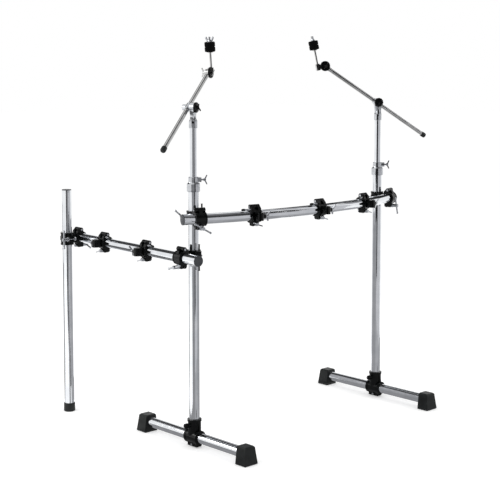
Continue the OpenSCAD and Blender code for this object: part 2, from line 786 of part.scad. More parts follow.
// Tilter base: a socket on the upper tube that swells into a flat cheek round the pivot
module yoke() {
  socket_r = upper_tube_r + 2.8;
  socket_bottom = tube_end_z - 27;
  head_r = 17;
  color(chrome) difference() {
    union() {
      rotate_extrude() polygon([[0, socket_bottom], [socket_r - 1, socket_bottom], [socket_r, socket_bottom + 1.5],
        [socket_r, tube_end_z - 2], [socket_r - 4, tube_end_z + 5], [yoke_half + 1, tube_end_z + 15],
        [yoke_half, tube_end_z + 20], [0, tube_end_z + 20]]);
      rotate([90, 0, 0]) translate([0, 0, -yoke_half]) linear_extrude(2 * yoke_half)
        polygon([[-socket_r + 3, tube_end_z + 1], [socket_r - 3, tube_end_z + 1], [socket_r - 4, tube_end_z + 12],
          [head_r - 1.5, pivot_height - 8], [head_r - 3, pivot_height + 8], [-head_r + 3, pivot_height + 8],
          [-head_r + 1.5, pivot_height - 8], [-socket_r + 4, tube_end_z + 12]]);
      at_pivot() along_y(2 * yoke_half, head_r);
    }
    translate([0, 0, socket_bottom - cut]) cylinder(h = tube_end_z - socket_bottom + cut + seat_gap,
      r = upper_tube_r + slide_fit);
    at_pivot() along_y(4 * yoke_half, pivot_bolt_r + slide_fit);
  }
}

// Eye that holds the arm, made in one with the pivot bolt
module arm_clamp() {
  eye_r = 10.5;
  near = yoke_half + seat_gap;
  far = arm_offset + arm_r + 12;
  collar = 3;
  color(chrome) difference() {
    at_pivot() rotate([0, -arm_rise, 0]) union() {
      translate([0, near + collar / 2, 0]) along_y(collar, 15);
      translate([0, (near + far) / 2, 0]) along_y(far - near, eye_r);
      translate([0, far, 0]) along_y(3, eye_r - 2.5);
      translate([0, near - (2 * yoke_half + tilter_disc_depth) / 2, 0]) along_y(2 * yoke_half + tilter_disc_depth + 1,
        pivot_bolt_r);
      translate([0, arm_offset, 0]) along_x(30, arm_r + 3.2);
    }
    along_arm() along_x(200, arm_r + slide_fit);
  }
}

// Ratchet disc with its ribbed rim and its wing, on the side away from the arm
module tilter_disc() {
  ribs = 12;
  face = -yoke_half - seat_gap;
  color(rubber_black) at_pivot() rotate([0, -arm_rise, 0]) difference() {
    union() {
      translate([0, face, 0]) rotate([90, 0, 0]) rotate_extrude() polygon([[0, 0], [tilter_disc_r - 1, 0],
        [tilter_disc_r, 1], [tilter_disc_r, tilter_disc_depth - 2], [tilter_disc_r - 2, tilter_disc_depth],
        [8, tilter_disc_depth + 1], [7, tilter_disc_depth + 5], [0, tilter_disc_depth + 5]]);
      translate([0, face - tilter_disc_depth - 4, 0]) rotate([0, 0, -90]) for (side = [0, 180]) rotate([side, 0, 0])
        wing_blade(tilter_disc_r - 5, 5, 4.5);
    }
    for (i = [0:ribs - 1]) rotate([0, (i + 0.5) * 360 / ribs, 0]) translate([tilter_disc_r + 1.2, face + cut, 0])
      rotate([90, 0, 0]) cylinder(h = tilter_disc_depth + 2 * cut, r = 2.4, $fn = 24);
    translate([0, face + cut, 0]) rotate([90, 0, 0]) cylinder(h = tilter_disc_depth + cut, r = pivot_bolt_r + slide_fit);
  }
}

module boom_arm(reach) {
  tang = cymbal_disc_r + 1.5;
  flare = 16;
  color(chrome) difference() {
    along_arm() union() {
      rotate([0, 90, 0]) translate([0, 0, -arm_tail + 2]) cylinder(h = arm_tail - 2 + reach - tang, r = arm_r);
      translate([reach - tang - flare, 0, 0]) rotate([0, 90, 0]) cylinder(h = flare, r1 = arm_r, r2 = 9);
      translate([reach, 0, 0]) along_y(2 * knuckle_half, 11.5);
      translate([reach - tang - 1, -knuckle_half, -7.4]) cube([tang + 1, 2 * knuckle_half, 14.8]);
    }
    along_arm() translate([reach, 0, 0]) along_y(8 * knuckle_half, cymbal_pivot_r + slide_fit);
  }
}

module arm_tip() {
  tip_r = arm_r + 2.2;
  color(rubber_black) along_arm() translate([-arm_tail, 0, 0]) rotate([0, 90, 0]) difference() {
    rotate_extrude() polygon([[0, 0], [tip_r - 5, 0], [tip_r - 1.5, 1.5], [tip_r, 5],
      [tip_r, arm_tip_length - 1], [tip_r - 1, arm_tip_length], [0, arm_tip_length]]);
    translate([0, 0, 2 - seat_plane]) cylinder(h = arm_tip_length, r = arm_r + tube_fit);
  }
}

// Black disc between the arm's end and the rod's bracket
module cymbal_disc(reach) {
  inner = knuckle_half + seat_plane;
  teeth = 16;
  color(rubber_black) along_arm() translate([reach, -inner, 0]) difference() {
    rotate([90, 0, 0]) rotate_extrude() polygon([[0, 0], [cymbal_disc_r - 1, 0], [cymbal_disc_r, 1],
      [cymbal_disc_r, cymbal_disc_depth - 1.5], [cymbal_disc_r - 1.5, cymbal_disc_depth],
      [cymbal_disc_r - 5, cymbal_disc_depth], [cymbal_disc_r - 6.5, cymbal_disc_depth - 2],
      [0, cymbal_disc_depth - 2]]);
    along_y(4 * cymbal_disc_depth, cymbal_pivot_r + slide_fit);
    for (i = [0:teeth - 1]) rotate([0, i * 360 / teeth, 0]) translate([cymbal_disc_r + 0.8, cut, 0])
      rotate([90, 0, 0]) cylinder(h = cymbal_disc_depth + 2 * cut, r = 1.6, $fn = 16);
  }
}

// Cymbal rod on its bracket, with the pivot bolt and its wings
module cymbal_rod(reach, lean, slant) {
  head_r = 6;
  head_bar = 27;
  color(chrome) at_cymbal(reach, lean) {
    difference() {
      union() {
        translate([0, bracket_near + bracket_depth / 2, 0]) along_y(bracket_depth, 13);
        translate([0, bracket_near, -9]) cube([rod_forward, bracket_depth, 18]);
        translate([rod_block_near, -rod_r - 2, -12])
          cube([2 * (rod_forward - rod_block_near), bracket_near + bracket_depth + rod_r + 2, 26]);
        translate([rod_forward, 0, 0]) rotate_extrude() polygon([[0, 0], [rod_r, 0], [rod_r, felt_seat - 6],
          [11, felt_seat - 2], [11, felt_seat], [rod_r, felt_seat], [rod_r, cymbal_rod_length - 1],
          [rod_r - 1, cymbal_rod_length], [0, cymbal_rod_length]]);
      }
      along_y(8 * bracket_near, cymbal_pivot_r + slide_fit);
    }
    translate([0, -knuckle_half - cymbal_disc_depth - 1, 0]) {
      rotate([0, 0, 90]) wing_bolt(2 * knuckle_half + cymbal_disc_depth + bracket_depth + 4,
        cymbal_pivot_r, small_hub_r, small_wing);
      rotate([90, 0, 0]) cylinder(h = 4, r = head_r, $fn = 32);
      rotate([0, slant, 0]) translate([-head_bar / 2, -6, -2.5]) cube([head_bar, 5, 5]);
    }
  }
}

module on_rod(reach, lean) {
  at_cymbal(reach, lean) translate([rod_forward, 0, felt_seat + seat_plane]) children();
}

module felts(reach, lean) {
  soft = 3;
  color(rubber_black) on_rod(reach, lean) for (i = [0, 1]) translate([0, 0, i * (felt_height + seat_plane)])
    rotate_extrude() polygon([[rod_r + seat_gap, 0], [felt_d / 2 - soft, 0], [felt_d / 2 - 0.8, 0.8],
      [felt_d / 2, soft], [felt_d / 2, felt_height - soft], [felt_d / 2 - 0.8, felt_height - 0.8],
      [felt_d / 2 - soft, felt_height], [rod_r + seat_gap, felt_height]]);
}

module wing_nut(reach, lean) {
  barrel = 9;
  color(chrome) on_rod(reach, lean) translate([0, 0, 2 * (felt_height + seat_plane) + seat_gap]) difference() {
    union() {
      cylinder(h = 2, r = 9, $fn = 32);
      cylinder(h = barrel, r1 = 8, r2 = 6.4, $fn = 32);
      for (side = [0, 180]) rotate([0, 0, side]) rotate([0, -90, 0]) translate([3, 0, 0]) wing_blade(17, 9, 3.2);
    }
    translate([0, 0, -cut]) cylinder(h = 4 * barrel, r = rod_r + slide_fit);
  }
}

rack() leg_tube();  // mid_leg_tube
rack() t_joint();  // mid_t_joint
rack() cross_tube();  // mid_cross_tube
rack() translate([post_spacing, 0, 0]) leg_tube();  // right_leg_tube
rack() translate([post_spacing, 0, 0]) t_joint();  // right_t_joint
rack() translate([post_spacing, 0, 0]) cross_tube();  // right_cross_tube
rack() rubber_feet();
rack() t_joint_bolts();
rack() leg_collars();
rack() collar_bolt();  // mid_collar_bolt
rack() translate([post_spacing, 0, 0]) collar_bolt();  // right_collar_bolt

rack() front_bar();
rack() front_bar_caps();
rack() mid_front_frame() post_clamp(true);  // mid_front_clamp
rack() right_front_frame() post_clamp(true);  // right_front_clamp
rack() front_clamp_jaws();
rack() front_clamp_bolts();

rack() side_bar();
rack() side_bar_caps();
rack() on_side_bar(0) post_clamp(false);  // mid_side_clamp
rack() on_side_bar_end(side_bar_run) post_clamp(false);  // end_side_clamp
rack() side_clamp_jaws();
rack() side_clamp_bolts();
rack() end_post();
rack() end_post_caps();

rack() on_side_clamp(side_a_run) accessory_clamp(false);  // side_a_clamp
rack() on_side_clamp(side_a_run) accessory_jaw(false);  // side_a_jaw
rack() on_side_clamp(side_a_run) accessory_bolts();  // side_a_bolts
rack() on_side_clamp(side_b_run) accessory_clamp(false);  // side_b_clamp
rack() on_side_clamp(side_b_run) accessory_jaw(false);  // side_b_jaw
rack() on_side_clamp(side_b_run) accessory_bolts();  // side_b_bolts
rack() on_front_bar(front_a_angle) accessory_clamp(true);  // front_a_clamp
rack() on_front_bar(front_a_angle) accessory_jaw(true);  // front_a_jaw
rack() on_front_bar(front_a_angle) accessory_bolts();  // front_a_bolts
rack() on_front_bar(front_b_angle) accessory_clamp(true);  // front_b_clamp
rack() on_front_bar(front_b_angle) accessory_jaw(true);  // front_b_jaw
rack() on_front_bar(front_b_angle) accessory_bolts();  // front_b_bolts
rack() on_front_bar(front_c_angle) accessory_clamp(true);  // front_c_clamp
rack() on_front_bar(front_c_angle) accessory_jaw(true);  // front_c_jaw
rack() on_front_bar(front_c_angle) accessory_bolts();  // front_c_bolts

rack() left_boom() upper_tube();  // left_upper_tube
rack() left_boom() yoke();  // left_yoke
rack() left_boom() arm_clamp();  // left_arm_clamp
rack() left_boom() tilter_disc();  // left_tilter_disc
rack() left_boom() boom_arm(left_arm_reach);  // left_boom_arm
rack() left_boom() arm_tip();  // left_arm_tip
rack() left_boom() cymbal_disc(left_arm_reach);  // left_cymbal_disc
rack() left_boom()  // left_cymbal_rod
  cymbal_rod(left_arm_reach, left_rod_lean, left_head_slant);
rack() left_boom() felts(left_arm_reach, left_rod_lean);  // left_felts
rack() left_boom() wing_nut(left_arm_reach, left_rod_lean);  // left_wing_nut
rack() right_boom() upper_tube();  // right_upper_tube
rack() right_boom() yoke();  // right_yoke
rack() right_boom() arm_clamp();  // right_arm_clamp
rack() right_boom() tilter_disc();  // right_tilter_disc
rack() right_boom() boom_arm(right_arm_reach);  // right_boom_arm
rack() right_boom() arm_tip();  // right_arm_tip
rack() right_boom() cymbal_disc(right_arm_reach);  // right_cymbal_disc
rack() right_boom()  // right_cymbal_rod
  cymbal_rod(right_arm_reach, right_rod_lean, right_head_slant);
rack() right_boom() felts(right_arm_reach, right_rod_lean);  // right_felts
rack() right_boom() wing_nut(right_arm_reach, right_rod_lean);  // right_wing_nut
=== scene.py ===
"""Looks of a drum rack frame: finishes, small fittings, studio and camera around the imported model."""

import json
import logging
import math
import random
from dataclasses import dataclass, field
from enum import Enum
from typing import Mapping, Sequence

import bpy
from mathutils import Matrix, Quaternion, Vector


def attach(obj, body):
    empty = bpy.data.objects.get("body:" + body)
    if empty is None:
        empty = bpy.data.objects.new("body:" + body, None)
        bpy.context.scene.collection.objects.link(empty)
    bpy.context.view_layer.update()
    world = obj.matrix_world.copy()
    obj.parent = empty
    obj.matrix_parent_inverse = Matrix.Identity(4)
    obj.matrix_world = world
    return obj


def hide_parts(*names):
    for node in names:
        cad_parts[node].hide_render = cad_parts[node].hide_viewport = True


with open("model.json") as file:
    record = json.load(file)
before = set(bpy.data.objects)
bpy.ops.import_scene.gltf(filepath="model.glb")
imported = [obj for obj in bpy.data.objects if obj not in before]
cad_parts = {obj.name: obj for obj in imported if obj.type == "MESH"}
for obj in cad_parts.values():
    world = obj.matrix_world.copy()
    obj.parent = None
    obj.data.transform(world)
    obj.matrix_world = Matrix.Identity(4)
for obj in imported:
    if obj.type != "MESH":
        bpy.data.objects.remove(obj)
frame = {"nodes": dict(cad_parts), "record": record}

LOG = logging.getLogger("drum_rack")
MM = 0.001
Point = tuple[float, float, float]
Profile = Sequence[tuple[float, float]]


class Slot(Enum):
    """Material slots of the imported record."""

    TUBE = "chrome_tube"
    CASTING = "chrome_casting"
    HARDWARE = "chrome_hardware"
    CLAMP = "clamp_black"
    RUBBER = "rubber_black"
    DISC = "disc_black"
    CAP = "cap_grey"
    FELT = "felt_black"


def linear(colour: str) -> tuple[float, float, float, float]:
    """Turns an sRGB hex colour into Blender's linear colour.

    Args:
        colour: six hex digits after a hash sign.

    Returns:
        Red, green, blue and full alpha.
    """
    digits = colour.lstrip("#")
    channels = [int(digits[i:i + 2], 16) / 255 for i in (0, 2, 4)]
    values = [c / 12.92 if c <= 0.04045 else ((c + 0.055) / 1.055) ** 2.4 for c in channels]
    return values[0], values[1], values[2], 1.0


def add_node(tree: bpy.types.NodeTree, kind: str, values: Mapping[str | int, object] | None = None,
             links: Mapping[str | int, bpy.types.NodeSocket] | None = None) -> bpy.types.Node:
    """Adds a shader node with its settings and its incoming links.

    Args:
        tree: the node tree that gets the node.
        kind: Blender's name of the node type.
        values: input values or properties by name; "stops" holds a colour ramp's places and colours.
        links: sockets that feed the node's inputs, by the input's name or number.

    Returns:
        The new node.
    """
    node = tree.nodes.new(kind)
    for key, value in (values or {}).items():
        if key == "stops":
            first, last = node.color_ramp.elements[0], node.color_ramp.elements[-1]
            (first.position, first.color), (last.position, last.color) = value
        elif isinstance(key, int) or key in node.inputs:
            node.inputs[key].default_value = value
        else:
            setattr(node, key, value)
    for key, socket in (links or {}).items():
        tree.links.new(socket, node.inputs[key])
    return node


def per_mm(size_mm: float) -> float:
    """Gives the texture scale at which a pattern repeats about every size_mm millimetres."""
    return 1000 / size_mm


@dataclass(frozen=True)
class Finish:
    """A surface with a mottled tone, a mottled roughness and a fine relief.

    The mottling is what handling and making leave on it; the relief is its grain.
    """

    name: str
    dark: str
    light: str
    roughness: tuple[float, float]
    metallic: float = 0.0
    ior: float = 1.5
    mirror: float = 0.5
    mottle_mm: float = 40.0
    grain_mm: float = 1.0
    grain_depth_mm: float = 0.02
    grain_strength: float = 0.2
    sheen: float = 0.0
    wave_mm: float = 0.0

    def build(self) -> bpy.types.Material:
        """Makes the node material.

        Returns:
            The material, named for what the surface is.
        """
        material = bpy.data.materials.new(self.name)
        material.use_nodes = True
        tree = material.node_tree
        shader = tree.nodes["Principled BSDF"]
        shader.inputs["Metallic"].default_value = self.metallic
        if not self.metallic:
            shader.inputs["IOR"].default_value = self.ior
            shader.inputs["Specular IOR Level"].default_value = self.mirror
        if self.sheen:
            shader.inputs["Sheen Weight"].default_value = self.sheen
            shader.inputs["Sheen Roughness"].default_value = 0.5
        place = add_node(tree, "ShaderNodeTexCoord").outputs["Object"]
        mottle = add_node(tree, "ShaderNodeTexNoise",
                          {"Scale": per_mm(self.mottle_mm), "Detail": 5.0, "Roughness": 0.62}, {"Vector": place})
        tone = add_node(tree, "ShaderNodeValToRGB",
                        {"stops": ((0.32, linear(self.dark)), (0.68, linear(self.light)))},
                        {"Fac": mottle.outputs["Fac"]})
        tree.links.new(tone.outputs["Color"], shader.inputs["Base Color"])
        gloss = add_node(tree, "ShaderNodeMapRange",
                         {"From Min": 0.3, "From Max": 0.7, "To Min": self.roughness[0], "To Max": self.roughness[1]},
                         {"Value": mottle.outputs["Fac"]})
        tree.links.new(gloss.outputs["Result"], shader.inputs["Roughness"])
        relief = self.relief(tree, place)
        tree.links.new(relief, shader.inputs["Normal"])
        return material

    def relief(self, tree: bpy.types.NodeTree, place: bpy.types.NodeSocket) -> bpy.types.NodeSocket:
        """Adds the grain and, where the piece has it, a long wave under it.

        Args:
            tree: the material's node tree.
            place: the texture coordinates.

        Returns:
            The socket that holds the shading normal.
        """
        grain = add_node(tree, "ShaderNodeTexNoise", {"Scale": per_mm(self.grain_mm), "Detail": 2.0},
                         {"Vector": place})
        bump = add_node(tree, "ShaderNodeBump",
                        {"Strength": self.grain_strength, "Distance": self.grain_depth_mm * MM},
                        {"Height": grain.outputs["Fac"]})
        if not self.wave_mm:
            return bump.outputs["Normal"]
        wave = add_node(tree, "ShaderNodeTexNoise", {"Scale": per_mm(self.wave_mm), "Detail": 1.0},
                        {"Vector": place})
        wave_bump = add_node(tree, "ShaderNodeBump", {"Strength": 0.5, "Distance": 0.1 * MM},
                             {"Height": wave.outputs["Fac"], "Normal": bump.outputs["Normal"]})
        return wave_bump.outputs["Normal"]


# Steel tube, ground, nickel-chromed and buffed: a mirror with faint hand marks and a long wave
CHROMED_TUBE = Finish("chromed_steel_tube", "#dcdfe3", "#eceef1", (0.04, 0.1), metallic=1.0, mottle_mm=45,
                      grain_mm=1.6, grain_depth_mm=0.004, grain_strength=0.12, wave_mm=70)
# Thin boom tube in polished nickel: a warmer, darker mirror than the chrome
NICKELLED_TUBE = Finish("nickelled_steel_tube", "#b3b3b2", "#c8c8c7", (0.07, 0.15), metallic=1.0, mottle_mm=30,
                        grain_mm=1.4, grain_depth_mm=0.005, grain_strength=0.15, wave_mm=60)
# Zinc die casting under chrome: softer edges and a slightly rolling mirror
CHROMED_ZINC = Finish("chromed_zinc_casting", "#b7babe", "#d4d6d9", (0.08, 0.18), metallic=1.0, mottle_mm=14,
                      grain_mm=2.2, grain_depth_mm=0.02, grain_strength=0.25, wave_mm=18)
# Turned and bent steel screws under thin chrome
CHROMED_SCREW = Finish("chromed_steel_screw", "#a9acb0", "#cbcdd1", (0.1, 0.22), metallic=1.0, mottle_mm=8,
                       grain_mm=1.1, grain_depth_mm=0.015, grain_strength=0.25)
# Cast aluminium under black powder coat: a satin skin with orange peel of about 1.5 mm
POWDER_COAT = Finish("powder_coated_aluminium", "#020303", "#090b0b", (0.16, 0.28), mirror=0.22, mottle_mm=22,
                     grain_mm=1.5, grain_depth_mm=0.05, grain_strength=0.35)
# Moulded rubber: dead matt, with the mould's stipple
RUBBER = Finish("moulded_rubber", "#050808", "#161b1b", (0.3, 0.5), ior=1.52, mirror=0.3, mottle_mm=26,
                grain_mm=1.2, grain_depth_mm=0.1, grain_strength=0.4)
# Glass-filled nylon: satin black with fine fibre speckle
NYLON = Finish("moulded_nylon", "#020202", "#080909", (0.28, 0.42), ior=1.53, mirror=0.12, mottle_mm=12,
               grain_mm=0.9, grain_depth_mm=0.03, grain_strength=0.3)
# Polypropylene plugs: dark grey with a soft shine
POLYPROPYLENE = Finish("moulded_polypropylene", "#2a2c30", "#3a3d42", (0.34, 0.48), ior=1.49, mottle_mm=16,
                       grain_mm=1.0, grain_depth_mm=0.03, grain_strength=0.25)
# Pressed wool felt: fibres of about 1 mm lie every way and catch a sheen
WOOL_FELT = Finish("pressed_wool_felt", "#050505", "#0c0c0c", (0.9, 1.0), mirror=0.06, mottle_mm=3,
                   grain_mm=1.0, grain_depth_mm=0.3, grain_strength=0.5, sheen=0.03)

FINISH_OF_SLOT = {
    Slot.TUBE: CHROMED_TUBE,
    Slot.CASTING: CHROMED_ZINC,
    Slot.HARDWARE: CHROMED_SCREW,
    Slot.CLAMP: POWDER_COAT,
    Slot.RUBBER: RUBBER,
    Slot.DISC: NYLON,
    Slot.CAP: POLYPROPYLENE,
    Slot.FELT: WOOL_FELT,
}


class Workshop:
    """Builds each finish once and hands it to the pieces."""

    def __init__(self) -> None:
        """Makes the materials of all slots."""
        self.materials = {slot: finish.build() for slot, finish in FINISH_OF_SLOT.items()}
        self.boom_material = NICKELLED_TUBE.build()

    def dress(self, piece: bpy.types.Object, slot: Slot) -> None:
        """Gives a piece the finish of a slot.

        Args:
            piece: a mesh object.
            slot: the slot whose finish it takes.
        """
        piece.data.materials.clear()
        piece.data.materials.append(self.materials[slot])
        for polygon in piece.data.polygons:
            polygon.material_index = 0

    def dress_below(self, piece: bpy.types.Object, slot: Slot, height: float) -> None:
        """Gives the lower solid of a piece a second finish.

        Args:
            piece: a mesh object that is dressed already.
            slot: the slot whose finish the lower solid takes.
            height: metres above the floor that part the two.
        """
        piece.data.materials.append(self.materials[slot])
        for polygon in piece.data.polygons:
            if (piece.matrix_world @ polygon.center).z < height:
                polygon.material_index = 1


@dataclass
class PackedPieces:
    """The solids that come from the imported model, dressed by their record's slots."""

    slots: dict[str, Slot] = field(default_factory=dict)
    boom_nodes: tuple[str, ...] = ("left_boom_arm", "right_boom_arm", "left_cymbal_rod", "right_cymbal_rod")
    foot_node: str = "end_post_caps"
    foot_height: float = 0.1

    def read(self) -> None:
        """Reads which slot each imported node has."""
        for entry in frame["record"]["subparts"]:
            self.slots[entry["node"]] = Slot(entry["material_slot"])

    def dress(self, workshop: Workshop) -> None:
        """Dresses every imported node.

        Args:
            workshop: the maker of the finishes.
        """
        for node, slot in self.slots.items():
            workshop.dress(frame["nodes"][node], slot)
            LOG.info("%s takes %s", node, FINISH_OF_SLOT[slot].name)
        workshop.dress_below(frame["nodes"][self.foot_node], Slot.RUBBER, self.foot_height)
        for node in self.boom_nodes:
            frame["nodes"][node].data.materials[0] = workshop.boom_material


class Shape:
    """A mesh in the making: points in millimetres in the rack's frame, and faces."""

    def __init__(self) -> None:
        """Starts with nothing."""
        self.points: list[Vector] = []
        self.faces: list[tuple[int, ...]] = []

    def loft(self, rings: Sequence[Sequence[Vector]], place: Matrix, ends: bool = True) -> None:
        """Joins rings of equally many points with quads.

        Args:
            rings: the rings, in order.
            place: the matrix that carries them into the rack's frame.
            ends: whether the first and last ring are closed with a face.
        """
        start, count = len(self.points), len(rings[0])
        flipped = place.to_3x3().determinant() < 0
        for ring in rings:
            self.points.extend(place @ point for point in ring)
        new: list[tuple[int, ...]] = []
        for k in range(len(rings) - 1):
            low, high = start + k * count, start + (k + 1) * count
            new.extend((low + i, low + (i + 1) % count, high + (i + 1) % count, high + i) for i in range(count))
        if ends:
            new.append(tuple(reversed(range(start, start + count))))
            new.append(tuple(range(start + (len(rings) - 1) * count, start + len(rings) * count)))
        self.faces.extend(tuple(reversed(face)) for face in new) if flipped else self.faces.extend(new)

    def lathe(self, profile: Profile, place: Matrix, segments: int = 32, lobes: int = 0, lobe_depth: float = 0.0,
              ends: bool = True) -> None:
        """Turns a profile round the Z axis of its place.

        Args:
            profile: radius and height pairs, outer side going up.
            place: the matrix that carries it into the rack's frame.
            segments: points round the axis.
            lobes: grip lobes round the rim.
            lobe_depth: how far the lobes dip, in millimetres.
            ends: whether the ends are closed.
        """
        rings = []
        for radius, height in profile:
            ring = []
            for i in range(segments):
                angle = math.tau * i / segments
                dip = lobe_depth * (0.5 - 0.5 * math.cos(lobes * angle)) ** 2 if lobes else 0.0
                reach = max(radius - dip * (radius / max(r for r, _ in profile)) ** 2, 0.01)
                ring.append(Vector((reach * math.cos(angle), reach * math.sin(angle), height)))
            rings.append(ring)
        self.loft(rings, place, ends)

    def sweep(self, path: Sequence[Vector], outward: Sequence[Vector], section: Profile, place: Matrix) -> None:
        """Carries a small section along a path.

        Args:
            path: the points that it follows.
            outward: at each point, the unit direction of the section's second coordinate.
            section: sideways and outward pairs.
            place: the matrix that carries it into the rack's frame.
        """
        rings = []
        for k, (point, out) in enumerate(zip(path, outward)):
            ahead = (path[min(k + 1, len(path) - 1)] - path[max(k - 1, 0)]).normalized()
            side = ahead.cross(out).normalized()
            rings.append([point + side * a + out * b for a, b in section])
        self.loft(rings, place)


@dataclass(frozen=True)
class Fitting:
    """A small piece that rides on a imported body."""

    name: str
    body: str
    slot: Slot
    stands_for: str = ""
    smooth_degrees: float = 32.0

    def build(self, shape: Shape, workshop: Workshop) -> bpy.types.Object:
        """Makes the piece from its shape, dresses it and puts it on its body.

        Args:
            shape: the mesh in the making.
            workshop: the maker of the finishes.

        Returns:
            The new object.
        """
        mesh = bpy.data.meshes.new(self.name)
        mesh.from_pydata([point * MM for point in shape.points], [], shape.faces)
        mesh.polygons.foreach_set("use_smooth", [True] * len(mesh.polygons))
        mesh.set_sharp_from_angle(angle=math.radians(self.smooth_degrees))
        piece = bpy.data.objects.new(self.name, mesh)
        bpy.context.scene.collection.objects.link(piece)
        workshop.dress(piece, self.slot)
        if self.stands_for:
            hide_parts(self.stands_for)
        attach(piece, self.body)
        LOG.info("%s rides on %s, finish %s", self.name, self.body, FINISH_OF_SLOT[self.slot].name)
        return piece


def shift(x: float, y: float, z: float) -> Matrix:
    """Gives the matrix of a move in millimetres."""
    return Matrix.Translation((x, y, z))


def turned(degrees: float, axis: str) -> Matrix:
    """Gives the matrix of a turn about an axis."""
    return Matrix.Rotation(math.radians(degrees), 4, axis)


@dataclass(frozen=True)
class RackPlan:
    """Where the rack's posts and bars lie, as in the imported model, in millimetres and degrees."""

    origin: tuple[float, float] = (497.0, 219.0)
    post_spacing: float = 1000.0
    bow_radius: float = 1650.0
    clamp_offset: float = 54.0
    front_height: float = 838.0
    side_height: float = 697.0
    side_turn: float = -4.0

    def rack(self) -> Matrix:
        """Gives the frame whose origin is the middle post's foot."""
        return shift(-self.origin[0], -self.origin[1], 0)

    def post(self, place: float) -> Matrix:
        """Gives the frame of a leg post.

        Args:
            place: 0 for the middle post, 1 for the right one.
        """
        return self.rack() @ shift(place * self.post_spacing, 0, 0)

    def front_clamp(self, angle: float) -> Matrix:
        """Gives the frame of a clamp on the bowed bar.

        Args:
            angle: degrees from the bar's middle.
        """
        circle = self.bow_radius - self.clamp_offset
        centre_y = math.sqrt(circle ** 2 - self.post_spacing ** 2 / 4)
        return (self.rack() @ shift(self.post_spacing / 2, centre_y, self.front_height) @ turned(angle, "Z")
                @ shift(0, -self.bow_radius, 0))

    def side_clamp(self, run: float) -> Matrix:
        """Gives the frame of a clamp on the side bar.

        Args:
            run: millimetres from the middle post.
        """
        mirror = Matrix.Diagonal((-1, 1, 1, 1))
        return (self.rack() @ turned(self.side_turn, "Z") @ shift(-self.clamp_offset, run, self.side_height)
                @ turned(-90, "Z") @ mirror)


@dataclass(frozen=True)
class LegFittings:
    """The lobed black knob on each T-joint."""

    plan: RackPlan
    knob_height: float = 84.0
    knob_reach: float = 33.3
    knob_radius: float = 9.5
    knob_depth: float = 13.0
    lobes: int = 8

    def build(self, workshop: Workshop) -> None:
        """Makes both knobs.

        Args:
            workshop: the maker of the finishes.
        """
        radius, depth = self.knob_radius, self.knob_depth
        profile = ((radius - 3.2, 0), (radius - 1.4, 0.6), (radius, 2.4), (radius, depth - 3), (radius - 0.8, depth - 1),
                   (radius - 2.4, depth), (3.0, depth), (2.6, depth - 0.9), (0.4, depth - 0.9))
        for name, place in (("mid", 0), ("right", 1)):
            shape = Shape()
            frame_here = self.plan.post(place) @ shift(-self.knob_reach, 0, self.knob_height) @ turned(-90, "Y")
            shape.lathe(profile, frame_here, 96, self.lobes, 1.6)
            Fitting(f"{name}_leg_knob", "frame", Slot.DISC).build(shape, workshop)


@dataclass(frozen=True)
class AccessoryFittings:
    """The black-tipped rod that lies on an accessory clamp."""

    name: str
    place: Matrix
    rod_radius: float = 3.2
    rod_start: float = 17.0
    rod_end: float = 47.0
    tip_radius: float = 4.6
    tip_end: float = 60.0
    across: float = -10.5
    height: float = 23.5

    def build(self, workshop: Workshop) -> None:
        """Makes the rod and its rubber tip.

        Args:
            workshop: the maker of the finishes.
        """
        along = self.place @ shift(0, self.across, self.height) @ turned(-90, "Y")
        rod = Shape()
        rod.lathe(((self.rod_radius, self.rod_start), (self.rod_radius, self.rod_end)), along)
        for notch in range(3):
            low = self.rod_start + 9 + notch * 2.4
            rod.lathe(((self.rod_radius, low), (self.rod_radius + 0.7, low + 0.5), (self.rod_radius + 0.7, low + 1.3),
                       (self.rod_radius, low + 1.8)), along, ends=False)
        Fitting(f"{self.name}_key_rod", self.name, Slot.HARDWARE).build(rod, workshop)
        tip = Shape()
        radius, start, end = self.tip_radius, self.rod_end - 0.5, self.tip_end
        tip.lathe(((radius - 1.2, start), (radius, start + 1), (radius, end - 3.4), (radius - 0.6, end - 1.6),
                   (radius - 1.9, end - 0.4), (radius - 3.4, end), (0.4, end)), along, 40)
        Fitting(f"{self.name}_key_tip", self.name, Slot.RUBBER).build(tip, workshop)


